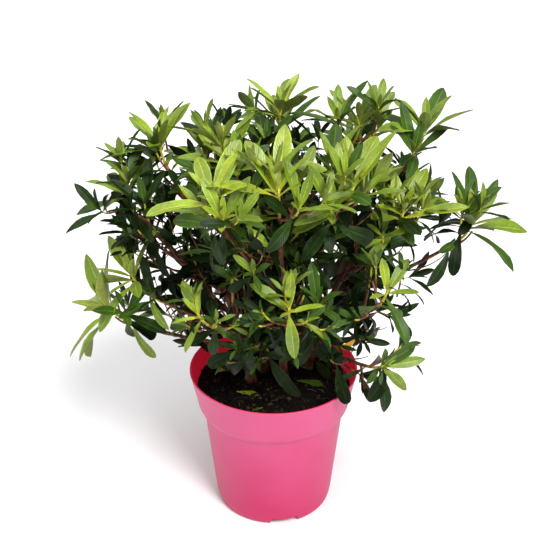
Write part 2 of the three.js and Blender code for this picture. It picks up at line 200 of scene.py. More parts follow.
def add(tree, kind, inputs=None, stops=(), **settings):
    """A shader node of this kind, such as "Math". inputs maps a socket's name or number to a value, to the
    output that feeds it, or to a node whose first output does. stops are a ramp's two or more positions and
    their colours, in hex or linear."""
    node = tree.nodes.new("ShaderNode" + kind)
    for name, value in settings.items():
        setattr(node, name, value)
    for socket, value in (inputs or {}).items():
        source = value.outputs[0] if isinstance(value, bpy.types.Node) else value
        if isinstance(source, bpy.types.NodeSocket):
            tree.links.new(source, node.inputs[socket])
        else:
            node.inputs[socket].default_value = source
    for number, (position, colour) in enumerate(stops):
        elements = node.color_ramp.elements
        element = elements[number] if number < len(elements) else elements.new(position)
        element.position = position
        element.color = linear(colour) if isinstance(colour, str) else colour
    return node


def new_material(name):
    """An empty material, its tree, and the Object coordinates that its patterns read."""
    material = bpy.data.materials.new(name)
    material.use_nodes = True
    tree = material.node_tree
    tree.nodes.clear()
    return material, tree, add(tree, "TexCoord").outputs["Object"]


def surface(tree, inputs):
    """Ends a material with its shader, whose sockets take these values and outputs."""
    shader = add(tree, "BsdfPrincipled", inputs)
    add(tree, "OutputMaterial", {"Surface": shader})


# %% Floor and light
floor_half = 6.0  # m, so that no view sees its edge
table_white, tree, _ = new_material("painted_board_white")
surface(tree, {"Base Color": linear("#f6f6f6"), "Roughness": 0.9})

corners = np.array([[-1, -1, 0], [1, -1, 0], [1, 1, 0], [-1, 1, 0]]) * floor_half / MM
floor = new_piece("floor", corners, np.array([[0, 1, 2, 3]]), [table_white])

# The tent's walls are pure white to the camera, and light the plant with less than a quarter of that.
world = bpy.data.worlds.new("white_tent")
world.use_nodes = True
tent = world.node_tree
seen = add(tent, "LightPath").outputs["Is Camera Ray"]
glow = add(tent, "MapRange", {"Value": seen, "To Min": 0.22, "To Max": 1.0})
tent.links.new(glow.outputs["Result"], tent.nodes["Background"].inputs["Strength"])
tent.nodes["Background"].inputs["Color"].default_value = (1, 1, 1, 1)
bpy.context.scene.world = world


def sun(name, azimuth, elevation, strength, spread):
    """A broad lamp at infinity, at an azimuth and elevation in degrees: a disc `spread` degrees wide."""
    lamp = bpy.data.objects.new(name, bpy.data.lights.new(name, "SUN"))
    lamp.data.energy = strength
    lamp.data.angle = math.radians(spread)
    lamp.rotation_euler = (math.radians(90 - elevation), 0, math.radians(azimuth))
    bpy.context.scene.collection.objects.link(lamp)


sun("key_lamp", azimuth=32, elevation=48, strength=3.3, spread=24)
sun("fill_lamp", azimuth=-75, elevation=35, strength=0.75, spread=60)
sun("top_lamp", azimuth=-40, elevation=80, strength=1.1, spread=60)
sun("back_lamp", azimuth=180, elevation=55, strength=0.6, spread=60)
bpy.context.scene.view_settings.view_transform = "Standard"

# %% [markdown]
# ## The pot
# The pot is thin polypropylene, injection moulded in one shot: a tapered wall, a band under the lip that
# keeps stacked pots from jamming, and a foot ring with notches that let water run off. It could be turned
# in CAD and cut. Here it is one profile carried round a circle, and a notch is part of the formula: within
# its sides no point of the foot comes lower than the notch's roof. Only the drain holes are cut, with a
# Boolean modifier.

# %% Pot profile
pot_height = 119.0
lip_radius = 65.0
wall = 1.6
band_height = 34.0
band_foot_radius = 58.8
body_top_radius = 54.8
body_foot_radius = 46.7
foot_radius = 44.6
corner_height = 6.5
floor_height = 5.2
foot_ring = 5.0
pad_radius = 11.0
pole = 0.05  # the radius at which a turned skin is closed with a few small faces
step_height = pot_height - band_height
floor_top = floor_height + wall


def rounded(corners, radius, steps):
    """A profile with each corner P replaced by a curve between points A and B, up to `radius` before and
    after it: (1 - t)^2 A + 2 t (1 - t) P + t^2 B."""
    corners = np.array(corners, float)
    t = np.linspace(0, 1, steps)[:, None]
    path = [corners[:1]]
    for before, corner, after in zip(corners, corners[1:], corners[2:]):
        ways = (before - corner, after - corner)
        start, end = (corner + unit(way) * min(radius, 0.45 * np.linalg.norm(way)) for way in ways)
        path.append((1 - t) ** 2 * start + 2 * t * (1 - t) * corner + t**2 * end)
    return np.concatenate([*path, corners[-1:]])


under = [(pole, 0), (pad_radius, 0), (pad_radius + 1, floor_height)]
under += [(foot_radius - foot_ring - 1, floor_height), (foot_radius - foot_ring, 0), (foot_radius - 1, 0)]
outside = [
    (foot_radius - 1, 0),
    (foot_radius, 0.5),
    (foot_radius + 1, corner_height / 3),
    (body_foot_radius, corner_height + 1),
    (body_top_radius, step_height),
    (band_foot_radius, step_height + 4),
    (lip_radius - 0.4, pot_height - 1.8),
    (lip_radius, pot_height - 1.2),
    (lip_radius, pot_height - 0.3),
    (lip_radius - 0.5, pot_height),
]
inside = [
    (lip_radius - 0.5, pot_height),
    (lip_radius - wall, pot_height - 0.2),
    (lip_radius - wall - 0.5, pot_height - 3),
    (band_foot_radius - wall, step_height + 5),
    (body_top_radius - wall, step_height + 1),
    (body_foot_radius - wall + 0.3, floor_top + 4),
    (foot_radius - wall - 1.5, floor_top),
    (pole, floor_top),
]
under = rounded(under, radius=0.6, steps=4)
outside = rounded(outside, radius=2.4, steps=7)
inside = rounded(inside, radius=1.2, steps=5)
pot_profile = np.concatenate([under[:-1], outside[:-1], inside])
profile_length = np.linalg.norm(np.diff(pot_profile, axis=0), axis=1).sum()
print("pot profile: %d points, %.1f mm long" % (len(pot_profile), profile_length))

# %% Pot body with its notches, and the drain holes' cutters
turn_step, drain_step = 2.0, 15.0  # degrees between the corners of a ring
notch_width = 20.0
notch_first = 11.0  # degrees, and the others follow at right angles
notch_slope = 1.4  # degrees over which a notch's slanted side rises
drain_radius = 4.0
drain_reach = 26.0
drain_low, drain_high = -5.0, 15.0  # the cutters go right through the pot's floor


def turned(profile, azimuths):
    """Rings of a skin turned round the pot's axis: (r sin a, -r cos a, z) for each (r, z) of a profile."""
    r, z = profile[:, 0, None], profile[:, 1, None]
    a = np.radians(azimuths)
    return np.stack([r * np.sin(a), -r * np.cos(a), z + 0 * a], -1)[None]


# The rings have corners at each notch's edges. An even number of them lets a fan of quads close the ends.
notch_half = math.degrees(math.asin(notch_width / 2 / foot_radius))
edges = [side * (notch_half + rise) for side in (-1, 1) for rise in (0, notch_slope)]
edges = [(notch_first + 90 * quarter + edge) % 360 for quarter in range(4) for edge in edges]
azimuths = np.unique(np.round(np.concatenate([np.arange(0, 360, turn_step), edges]), 3))
azimuths = azimuths[: len(azimuths) // 2 * 2]
from_notch = np.abs((azimuths - notch_first + 45) % 90 - 45)
notch_roof = floor_height * np.clip((notch_half + notch_slope - from_notch) / notch_slope, 0, 1)

pot_rings = turned(pot_profile, azimuths)
by_the_foot = (pot_profile[:, 0] > foot_radius - foot_ring - 2) & (pot_profile[:, 1] < floor_height)
pot_rings[..., 2] = np.maximum(pot_rings[..., 2], np.where(by_the_foot[:, None], notch_roof, 0))

drain = [(pole, drain_low), (drain_radius, drain_low), (drain_radius, drain_high), (pole, drain_high)]
drain = turned(np.array(drain), np.arange(0, 360, drain_step))
drain_places = [polar(notch_first + 45 + 90 * quarter, drain_reach, 0) for quarter in range(4)]
drains = np.concatenate([drain + place for place in drain_places])
print("pot: %d rings of %d points, notches %.1f degrees wide" % (*pot_rings.shape[1:3], 2 * notch_half))

# %% [markdown]
# The plastic is pigmented all through, a little cloudy where the melt ran, with the soft satin of a
# spark-eroded mould. A rough dielectric of refractive index 1.49 gives that: pale at grazing angles, full
# pink where it faces the eye. The pink also runs from deeper at the foot to paler at the band: that is
# painted shade and light, as if lit from above. The cloud is about as wide as a hand's finger and the
# grain is far finer.

# %% Polypropylene
plastic_index = 1.49
pink_plastic, tree, place = new_material("polypropylene_pink")
cloud = add(tree, "TexNoise", {"Vector": place, "Scale": 1 / 0.045, "Detail": 3.0})
grain = add(tree, "TexNoise", {"Vector": place, "Scale": 1 / 0.0008, "Detail": 2.0})
rise = add(tree, "SeparateXYZ", {"Vector": place}).outputs["Z"]
# Painted shade and light: the pink darkens towards the foot and pales towards the band.
height_shade = add(tree, "Math", {0: rise, 1: 1 / (pot_height * MM)}, operation="MULTIPLY")
drift = add(tree, "MapRange", {"Value": cloud, "To Min": -0.35, "To Max": 0.35})
mixed = add(tree, "Math", {0: height_shade, 1: drift}, operation="ADD")
tint = add(tree, "ValToRGB", {"Fac": mixed}, ((0.1, "#b92159"), (0.9, "#cb4d7d")))
satin = add(tree, "MapRange", {"Value": cloud, "To Min": 0.4, "To Max": 0.52})
texture = add(tree, "Bump", {"Height": grain, "Strength": 0.1, "Distance": 0.0002})
sheen = {"Roughness": satin, "IOR": plastic_index, "Specular IOR Level": 0.4}
surface(tree, {"Base Color": tint, "Normal": texture, **sheen})

# %% [markdown]
# Light that reaches the inside has met the pink wall more than once, so each bounce has taken out more
# green and blue, and it comes back crimson. The wall is also thin enough to glow a little where daylight
# falls on its other side. The faces past the lip have a deeper pigment and a faint emission that stand for
# both.

# %% The pot's inside, and the holes
inside_plastic, tree, place = new_material("polypropylene_pink_inside")
cloud = add(tree, "TexNoise", {"Vector": place, "Scale": 1 / 0.02, "Detail": 3.0})
tint = add(tree, "ValToRGB", {"Fac": cloud}, ((0.35, "#f41842"), (0.7, "#ff2450")))
daylight = {"Emission Color": linear("#ff2444"), "Emission Strength": 0.2}
surface(tree, {"Base Color": tint, "Roughness": 0.5, "IOR": plastic_index, **daylight})

pot_points, pot_faces = skins(pot_rings)
row_of = np.minimum(np.arange(len(pot_faces)) // len(azimuths), len(pot_profile) - 2)
past_lip = row_of > len(under) + len(outside) - 3
pot = new_piece("pot_wall", pot_points, pot_faces, [pink_plastic, inside_plastic], past_lip)
drain_cutter = new_piece("drain_cutter", *skins(drains), [])
cut = pot.modifiers.new("drains", "BOOLEAN")
cut.operation, cut.solver, cut.object = "DIFFERENCE", "EXACT", drain_cutter
evaluated = pot.evaluated_get(bpy.context.evaluated_depsgraph_get())
pot.data = bpy.data.meshes.new_from_object(evaluated)
pot.modifiers.clear()
bpy.data.objects.remove(drain_cutter)
keep(pot, "pot", "pot")

# %% [markdown]
# ## The soil
# Azalea soil is peat with bark crumbs: nearly black when wet, with brown fibres on top. The bed is one
# turned skin whose top is pushed up and down by two sizes of noise. Crumbs and fibres are separate small
# bodies that sit in it.

# %% Soil bed
soil_edge_height = 104.0
soil_crown_height = 106.0
crown_radius = 42.0
clearance = 0.3  # from the soil to the pot's floor, and twice that to its wall
soil_swells = ((0.9, 26, 3), (0.6, 7, 5))  # height, width and seed of each size of wave
soil_settled = 0.6  # how far the waves' middle lies below the crown and the edge
bed_rows = 56


def inner_radius(height):
    """The pot's inner radius at a height: a straight cone below the step and another above it."""
    if height < step_height:
        rise = (height - corner_height) / (step_height - corner_height)
        return mix(body_foot_radius, body_top_radius, rise) - wall
    return mix(band_foot_radius, lip_radius, (height - step_height) / band_height) - wall


def soil_top(x, y):
    """Soil height: the crown's slope to the edge, with two sizes of wave on top of it."""
    r = np.hypot(x, y)
    edge = inner_radius(soil_edge_height) - 2 * clearance
    slope = np.clip((edge - r) / (edge - crown_radius), 0, 1)
    rough = sum(height * waves(x, y, 0 * x, width, seed) for height, width, seed in soil_swells)
    return mix(soil_edge_height, soil_crown_height, slope) + rough - soil_settled


bed_foot = floor_top + clearance
bed_edge = inner_radius(soil_edge_height) - 2 * clearance - 0.5
bed_step = inner_radius(step_height - 1) - 2 * clearance
bed_side = [
    (pole, bed_foot),
    (foot_radius - wall - 2.4, bed_foot),
    (inner_radius(bed_foot + 3) - 2 * clearance - 0.6, bed_foot + 4),
    (bed_step - 0.4, step_height - 1),
    (bed_step, step_height + 3),
]
bed_top = [(r, 0) for r in np.linspace(bed_edge, pole, bed_rows)]
bed_rings = turned(np.array(bed_side + bed_top), np.arange(0, 360, turn_step))
top = bed_rings[:, len(bed_side) :]
top[..., 2] = soil_top(top[..., 0], top[..., 1])

peat, tree, place = new_material("peat_wet")
crumble = add(tree, "TexVoronoi", {"Vector": place, "Scale": 1 / 0.0022})
damp = add(tree, "TexNoise", {"Vector": place, "Scale": 1 / 0.012, "Detail": 4.0})
tint = add(tree, "ValToRGB", {"Fac": crumble}, ((0.1, "#17120d"), (0.9, "#090705")))
wet = add(tree, "MapRange", {"Value": damp, "To Min": 0.55, "To Max": 0.95})
lumps = add(tree, "Bump", {"Height": crumble, "Strength": 0.8, "Distance": 0.0012})
sheen = {"Roughness": wet, "IOR": 1.33, "Specular IOR Level": 0.2}
surface(tree, {"Base Color": tint, "Normal": lumps, **sheen})
keep(new_piece("soil_bed", *skins(bed_rings), [peat]), "soil", "soil")

# %% Crumbs of bark and peat
crumb_count = 1400
crumb_spread = 0.98  # the share of the bed's radius that they lie on
crumb_small, crumb_large = 0.4, 2.2  # radii
crumb_dent, crumb_bulge, crumb_flatness = 0.6, 1.35, 0.7  # shares of the radius
crumb_lift = 0.2  # how much of its radius a crumb's middle stands above the soil


def lumps_at(centres, radii, seed):
    """Small closed crumbs: rings of a ball, each corner pushed in or out by a drawn share of the radius."""
    lat = np.radians([-80, -40, 0, 40, 80])[None, :, None]
    lon = np.radians(np.arange(0, 360, 60))[None, None, :]
    out = np.cos(lat)
    ball = (out * np.cos(lon), out * np.sin(lon), crumb_flatness * np.sin(lat))
    ball = np.stack(np.broadcast_arrays(*ball), -1)
    body = np.arange(len(centres))[:, None, None]
    corner = np.arange(ball.shape[1] * ball.shape[2]).reshape(1, ball.shape[1], ball.shape[2])
    bulge = mix(crumb_dent, crumb_bulge, draw(seed + body, corner))
    return centres[:, None, None] + radii[:, None, None, None] * bulge[..., None] * ball


crumb = np.arange(crumb_count)
crumb_reach = bed_edge * np.sqrt(draw(crumb, 1)) * crumb_spread
turn = 2 * np.pi * draw(crumb, 2)
x, y = crumb_reach * np.cos(turn), crumb_reach * np.sin(turn)
crumb_radius = mix(crumb_small, crumb_large, draw(crumb, 3) ** 4)
crumbs = lumps_at(np.stack([x, y, soil_top(x, y) + crumb_lift * crumb_radius], -1), crumb_radius, 7)

bark_chip, tree, place = new_material("composted_bark")
patch = add(tree, "TexNoise", {"Vector": place, "Scale": 1 / 0.006, "Detail": 3.0})
tint = add(tree, "ValToRGB", {"Fac": patch}, ((0.5, "#0f0a07"), (0.66, "#503c2c")))
surface(tree, {"Base Color": tint, "Roughness": 0.85, "Specular IOR Level": 0.2})
keep(new_piece("soil_crumbs", *skins(crumbs), [bark_chip]), "soil")

# %% [markdown]
# ## Threads, stems and twigs as tubes
# The soil's fibres, the stems and the twigs all bend gently one way. A quadratic curve gives that with
# three points: where it starts, where it is pulled to and where it ends. A tube is a ring of corners
# carried along it.


# %% Curves and tubes
def at(curves, t):
    """Points of quadratic curves (foot, pull, tip): (1 - t)^2 foot + 2 t (1 - t) pull + t^2 tip."""
    t = np.asarray(t, float)[..., None]
    return (1 - t) ** 2 * curves[..., 0, :] + 2 * t * (1 - t) * curves[..., 1, :] + t**2 * curves[..., 2, :]


def heading(curves, t):
    """Unit directions of travel: (1 - t) (pull - foot) + t (tip - pull), over its length."""
    t = np.asarray(t, float)[..., None]
    foot, pull, tip = (curves[..., i, :] for i in range(3))
    return unit((1 - t) * (pull - foot) + t * (tip - pull))


def taper(foot, tip, steps):
    """Radii that fall evenly from foot to tip, one row for each curve."""
    return mix(np.asarray(foot)[:, None], np.asarray(tip)[:, None], np.linspace(0, 1, steps))


def tubes(curves, start, end, radius, sides, knot=0.0, seed=0):
    """Rings from `start` to `end` of each curve: at(t) + r (across cos a + aside sin a). A quadratic curve
    lies in a plane, so the plane's normal serves as `across` all the way, with no twist, and a straight one
    has a normal of its own. radius holds r, a row for each curve. knot is how far bark swells."""
    steps = radius.shape[1]
    t = start[:, None] + (end - start)[:, None] * np.linspace(0, 1, steps)
    along = heading(curves[:, None], t)
    bend = np.cross(curves[:, 1] - curves[:, 0], curves[:, 2] - curves[:, 1])
    # A small part of any direction, so that a straight curve has a plane too.
    nudge = 0.02 * np.linalg.norm(bend, axis=-1, keepdims=True) + 1e-3 * np.array([0.3, -0.5, 0.8])
    bend = unit(bend + nudge)
    across = unit(bend[:, None] - (bend[:, None] * along).sum(-1, keepdims=True) * along)
    aside = np.cross(along, across)
    a = 2 * np.pi * np.arange(sides) / sides
    ring = across[:, :, None] * np.cos(a)[:, None] + aside[:, :, None] * np.sin(a)[:, None]
    rings = at(curves[:, None], t)[:, :, None] + radius[..., None, None] * ring
    if knot:
        # Plates of bark 9 mm tall and a third as wide, with pits of 3.5 mm in them.
        x, y, z = np.moveaxis(rings, -1, 0)
        pits = waves(3 * x, 3 * y, z, 9, seed) + 0.6 * waves(x, y, z, 3.5, seed + 1)
        rings = rings + knot * pits[..., None] * ring
    return rings


# %% Sedge fibres, bent threads that lie on the soil
fibre_count, fibre_steps, fibre_sides = 50, 9, 6
fibre_spread, fibre_edge = 0.92, 0.97  # shares of the bed's radius that the middles and the ends keep to
fibre_short, fibre_long = 1.5, 8.0  # half their lengths
fibre_thin, fibre_thick = 0.14, 0.3  # radii
fibre_bend = 0.8  # the range of their sideways bend, over half the length
fibre_arch = 2.0  # how far above the soil a thread's curve is pulled
fibre_lift = 0.2  # and how far above it the ends are

fibre = np.arange(fibre_count)
turn, way = 2 * np.pi * draw(fibre, 31), 2 * np.pi * draw(fibre, 32)
fibre_reach = (fibre_spread * bed_edge * np.sqrt(draw(fibre, 33)))[:, None]
fibre_half = mix(fibre_short, fibre_long, draw(fibre, 34) ** 2)[:, None]
middle = np.stack([np.cos(turn), np.sin(turn)], -1) * fibre_reach
half_fibre = fibre_half * np.stack([np.cos(way), np.sin(way)], -1)
bend = fibre_bend * (draw(fibre, 35)[:, None] - 0.5) * half_fibre[:, ::-1] * np.array([1, -1])
plan = np.stack([middle - half_fibre, middle + 2 * bend, middle + half_fibre], 1)
plan *= np.minimum(1, bed_edge * fibre_edge / np.linalg.norm(plan, axis=-1, keepdims=True))
lie = soil_top(plan[..., 0], plan[..., 1]) + np.array([fibre_lift, fibre_arch, fibre_lift])
fibres = np.concatenate([plan, lie[..., None]], -1)
fibre_radius = mix(fibre_thin, fibre_thick, draw(fibre, 36))
fibre_radii = taper(fibre_radius, 0.5 * fibre_radius, fibre_steps)
fibre_rings = tubes(fibres, np.zeros(fibre_count), np.ones(fibre_count), fibre_radii, fibre_sides)

sedge, tree, place = new_material("sedge_fibre")
patch = add(tree, "TexNoise", {"Vector": place, "Scale": 1 / 0.01, "Detail": 2.0})
tint = add(tree, "ValToRGB", {"Fac": patch}, ((0.4, "#2b1e16"), (0.65, "#6f5d47")))
surface(tree, {"Base Color": tint, "Roughness": 0.8})
keep(new_piece("soil_fibres", *skins(fibre_rings), [sedge]), "soil")

# %% [markdown]
# ## Where the plant grows
# Five stems stand in the soil. Each one ends in a mass of leaves and carries boughs that end in others. The
# azimuth and reach of each stem's foot, the share of the stem at which a bough forks off, and the place of
# each mass's leading whorl are the plant's driving dimensions, the same as in the imported model. The rest
# dresses a mass: which way its first side twig goes, its tone from 0, lime green, to 5, nearly black, the
# size of its leaves, and its cover, which is the share of its shoots that have leaves. A mass's tone is
# partly its leaves' age and partly painted shade: masses at the back and under others are darker.

# %% Stems and masses
stem_feet = {"left": (-90, 17), "front": (60, 9), "right": (125, 33), "back": (172, 34), "centre": (-150, 16)}
masses = {  # stem, fork, (azimuth, reach, height) of the whorl, first side twig, tone, vigour, cover
    "crown_top": ("centre", None, (163, 21, 322), 20, 1.8, 1.02, 0.55),
    "crown_top_right": ("centre", 0.5, (100, 71, 317), 20, 1.6, 1.0, 0.6),
    "crown_top_left": ("centre", 0.44, (-63, 42, 302), 265, 1.2, 1.0, 1),
    "front_right": ("centre", 0.34, (35, 98, 304), 255, 0.9, 1.05, 0.9),
    "shoulder_left": ("left", None, (-93, 86, 303), 270, 1.8, 1.0, 0.6),
    "side_left_upper": ("left", 0.36, (-85, 113, 273), 200, 2.2, 0.95, 0.7),
    "side_left_mid": ("left", 0.2, (-75, 113, 214), 252, 1.4, 1.0, 0.35),
    "side_left_low": ("left", 0.14, (-85, 131, 176), 270, 1.8, 1.18, 0.25),
    "back_left": ("left", 0.26, (-122, 124, 222), 300, 2.5, 0.9, 0.8),
    "front_centre": ("front", None, (2, 96, 304), 235, 0.8, 1.02, 0.9),
    "front_left": ("front", 0.46, (-27, 99, 300), 240, 0.9, 1.0, 0.9),
    "front_low_left": ("front", 0.2, (-38, 94, 206), 265, 1.3, 0.66, 0.8),
    "front_low_centre": ("front", 0.28, (6, 106, 226), 230, 1.4, 0.68, 0.8),
    "shoulder_right": ("right", None, (90, 112, 313), 232, 2.4, 1.0, 0.1),
    "shoulder_right_front": ("right", 0.36, (64, 104, 271), 250, 0.8, 1, 0.8),
    "side_right_upper": ("right", 0.3, (82, 151, 250), 230, 1.85, 1.08, 0.35),
    "side_right_front": ("right", 0.2, (43, 116, 228), 262, 1.8, 0.8, 0.8),
    "side_right_low": ("right", 0.1, (58, 98, 148), 278, 2.5, 0.85, 0.5),
    "back_right": ("right", 0.4, (122, 130, 240), 0, 2.4, 0.9, 0.8),
    "back_top": ("back", None, (176, 88, 288), 100, 2.2, 0.95, 0.9),
    "back_top_left": ("back", 0.46, (-140, 96, 274), 330, 2.6, 0.95, 0.9),
    "back_top_right": ("back", 0.4, (134, 100, 280), 230, 2.3, 0.95, 0.6),
    "back_centre": ("back", 0.3, (178, 134, 226), 40, 2.8, 0.9, 0.9),
    "back_low_left": ("back", 0.16, (-150, 116, 168), 190, 2.9, 0.9, 0.8),
    "back_low_right": ("back", 0.12, (146, 118, 166), 270, 2.8, 0.9, 0.8),
}
names = list(masses)
stem_of, forks, whorl_places = zip(*(row[:3] for row in masses.values()))
whorls = np.array([polar(*place) for place in whorl_places])
first_twig, tones, vigours, covers = np.array([row[3:] for row in masses.values()], float).T
is_stem = np.array([fork is None for fork in forks])
print("%d stems and %d boughs" % (is_stem.sum(), (~is_stem).sum()))

# %% The curves of stems and boughs, and where their bark ends
stem_pull = np.array([0.3, 0.3, 0.56])  # where a stem is pulled to, as shares of its way from foot to tip
bough_sag = 0.1  # how far below its chord a bough's curve is pulled, as a share of the chord
heart_depth = 16.0  # from a mass's whorl back to its middle
shortest_limb = 0.52  # the share of a limb that always has thick bark
limb_gap = 2.5  # how deep in its mass's own space a limb's thick bark ends
far = 1e9  # mm, to leave a mass out of a comparison with itself


def length_of(curves):
    """Lengths of curves, as the sum of 24 chords."""
    points = at(curves[..., None, :, :], np.linspace(0, 1, 25))
    return np.linalg.norm(np.diff(points, axis=-2), axis=-1).sum(-1)


def limb_curve(stem, fork, tip):
    """A stem's own curve, or a bough from its fork on the stem to its whorl, hanging below the chord."""
    if fork is None:
        return stem_curves[stem]
    foot = at(stem_curves[stem], fork)
    return np.array([foot, mix(foot, tip, 0.5) - UP * bough_sag * np.linalg.norm(tip - foot), tip])


def depth_inside(points):
    """How deep points[m] lie in mass m's space: the least (|p - other|^2 - |p - own|^2) / (2 apart)."""
    to_all = ((points[:, :, None] - hearts) ** 2).sum(-1)
    own = ((points - hearts[:, None]) ** 2).sum(-1)
    itself = far * np.eye(len(hearts))
    apart = np.linalg.norm(hearts[:, None] - hearts, axis=-1) + itself
    return ((to_all - own[..., None]) / (2 * apart[:, None]) + itself[:, None]).min(-1)


stem_curves = {}
for stem, fork, tip in zip(stem_of, forks, whorls):
    if fork is None:
        foot = polar(*stem_feet[stem], soil_crown_height + clearance)
        stem_curves[stem] = np.array([foot, mix(foot, tip, stem_pull), tip])

limbs = np.array([limb_curve(*limb) for limb in zip(stem_of, forks, whorls)])
limb_length = length_of(limbs)
hearts = whorls - heart_depth * heading(limbs, 1.0)
tries = np.arange(100 * shortest_limb, 100) / 100
outside_space = depth_inside(at(limbs[:, None], tries)) <= limb_gap
ends = np.array([tries[row].max() + 0.01 if row.any() else shortest_limb for row in outside_space])
print("limbs: %d to %d mm long" % (limb_length.min(), limb_length.max()))
print("their bark ends at %.2f to %.2f of the way, and twigs go on" % (ends.min(), ends.max()))

# %% [markdown]
# ## Bark
# Azalea bark is red-brown and thin. On a stem of a few years it cracks into long plates, and the rings
# where each year's whorl of leaves fell stay as low swellings. The plates are relief in the mesh. The
# colour is patches drawn out along the stem, with darker cracks, and the surface is dry and rough.

# %% Stems and boughs
stem_foot_radius, stem_end_radius = 3.1, 1.7
bough_foot_radius, bough_end_radius = 2.1, 1.35
bough_start = 2.0  # mm from the middle of the stem to where a bough's bark begins
root_flare, flare_height = 1.5, 9.0
year_growth, year_stray = 24.0, 7.0  # mm between two years' scars, and how far the first one's place is drawn
year_swell, scar_spread = 0.16, 6.0  # how far a scar swells, and twice the square of its half-width
limb_steps, limb_sides, limb_knot = 80, 16, 0.16
stem_foot_depth = 1.2  # under the soil's crown

share = np.linspace(0, 1, limb_steps)
distance = share * (ends * limb_length)[:, None]
foot_radii = np.where(is_stem, stem_foot_radius, bough_foot_radius)[:, None]
end_radii = np.where(is_stem, stem_end_radius, bough_end_radius)[:, None]
flare = 1 + (root_flare - 1) * np.exp(-distance / flare_height) * is_stem[:, None]
past_scar = (distance + year_stray * draw(np.arange(len(names)), 4)[:, None]) % year_growth - year_growth / 2
scar = 1 + year_swell * np.exp(-(past_scar**2) / scar_spread)
limb_radii = mix(foot_radii, end_radii, share) * flare * scar
limb_start = np.where(is_stem, 0.0, bough_start) / limb_length
limb_rings = tubes(limbs, limb_start, ends, limb_radii, limb_sides, limb_knot, seed=11)
limb_rings[is_stem, 0, :, 2] = soil_crown_height - stem_foot_depth  # a stem's lowest ring lies flat


def bark_material(name, crack, plate, spacing, depth):
    """Bark: noise drawn out along the stem picks the crack's or the plate's colour and lifts the plate."""
    material, tree, place = new_material(name)
    drawn = add(tree, "Mapping", {"Vector": place, "Scale": (1.0, 1.0, 0.3)})
    plates = add(tree, "TexNoise", {"Vector": drawn, "Scale": 1 / spacing, "Detail": 5.0})
    tint = add(tree, "ValToRGB", {"Fac": plates}, ((0.36, crack), (0.66, plate)))
    lift = add(tree, "Bump", {"Height": plates, "Strength": 0.6, "Distance": depth})
    surface(tree, {"Base Color": tint, "Normal": lift, "Roughness": 0.78})
    return material


old_bark = bark_material("azalea_bark_old", crack="#2c1a13", plate="#855438", spacing=0.0035, depth=0.0005)
stem_nodes = ["stem_" + stem for stem in stem_curves]
bough_nodes = ["bough_" + name for name, fork in zip(names, forks) if fork is not None]
keep(new_piece("stems", *skins(limb_rings[is_stem]), [old_bark]), "bark", *stem_nodes)
keep(new_piece("boughs", *skins(limb_rings[~is_stem]), [old_bark]), "bark", *bough_nodes)

# %% [markdown]
# ## Twigs
# Inside a mass the limb goes on as a thin stem, with side twigs at the golden angle that bend up to the
# light, and finer twigs on those. Low on the limbs, in the shade, many twigs are bare and the rest carry a
# poor whorl. Suckers are thin shoots that leave a limb near its foot and climb beside it into the crown. A
# twig is woody and red-brown for its first year's growth, then amber, and yellow-green just under its
# whorl. One mesh holds them all, with a material for each stretch.


# %% Where the twigs grow
def squares(along):
    """Two unit vectors square to each direction: along x up, or x where it is upright, and along x that."""
    reference = np.where(np.abs(along[..., 2:]) > 0.98, np.array([1.0, 0.0, 0.0]), UP)
    first = unit(np.cross(along, reference))
    return first, np.cross(along, first)


def aim(along, tilt, azimuth):
    """Directions `tilt` degrees off `along`, `azimuth` degrees round it: a hanging way out is at 90."""
    first, second = squares(along)
    tilt, azimuth = np.radians(tilt)[..., None], np.radians(azimuth)[..., None]
    return along * np.cos(tilt) + (first * np.cos(azimuth) + second * np.sin(azimuth)) * np.sin(tilt)


def side_curves(curves, t, tilt, azimuth, length, lift):
    """Twigs from t on their parents that leave at an angle and bend up by `lift` of their length."""
    root = at(curves, t)
    way = aim(heading(curves, t), tilt, azimuth)
    length = length[..., None]
    tip = root + way * length * (1 - lift / 2) + UP * length * lift
    return np.stack([root, root + way * length / 2, tip], -2)


side_count, shade_count, sucker_count = 4, 10, 5
side_first, side_last = 0.06, 0.66
side_spread, side_foot_length, side_tip_length = 50.0, 42.0, 22.0
sucker_stray = 26.0

mass = np.arange(len(names))[:, None]
side = np.arange(side_count)
up_share = side / (side_count - 1)
side_twigs = side_curves(
    limbs[:, None],
    t=mix(ends[:, None], 1, mix(side_first, side_last, up_share)),
    tilt=side_spread * mix(0.85, 1.15, draw(mass + 1, 40 + side)),
    azimuth=first_twig[:, None] + GOLDEN_ANGLE * side,
    length=mix(side_foot_length, side_tip_length, up_share) * mix(0.85, 1.15, draw(mass + 1, 50 + side)),
    lift=0.33,
).reshape(-1, 3, 3)

parent = np.arange(len(side_twigs))
fine_twigs = side_curves(
    side_twigs,
    t=mix(0.35, 0.6, draw(parent, 61)),
    tilt=mix(38, 58, draw(parent, 62)),
    azimuth=360 * draw(parent, 63),
    length=mix(16, 26, draw(parent, 64)),
    lift=0.3,
)

shade = np.arange(shade_count)
shade_twigs = side_curves(
    limbs[:, None],
    t=mix(0.3, 0.98, (shade + draw(mass, 20 + shade)) / shade_count) * ends[:, None],
    tilt=mix(40, 68, draw(mass, 70 + shade)),
    azimuth=360 * draw(mass, 80 + shade),
    length=mix(22, 58, draw(mass, 90 + shade)),
    lift=0.35,
).reshape(-1, 3, 3)

sucker = np.arange(sucker_count)
foot = at(limbs[:, None], mix(0.08, 0.45, draw(mass, 110 + sucker)) * ends[:, None])
stray = np.stack([draw(mass, k + sucker) - 0.5 for k in (130, 140, 150)], -1) * 2 * sucker_stray
goal = at(limbs[:, None], mix(0.8, 1.06, draw(mass, 120 + sucker)) * ends[:, None]) + stray
suckers = np.stack([foot, mix(foot, goal, 0.45) + 0.35 * stray, goal], -2).reshape(-1, 3, 3)

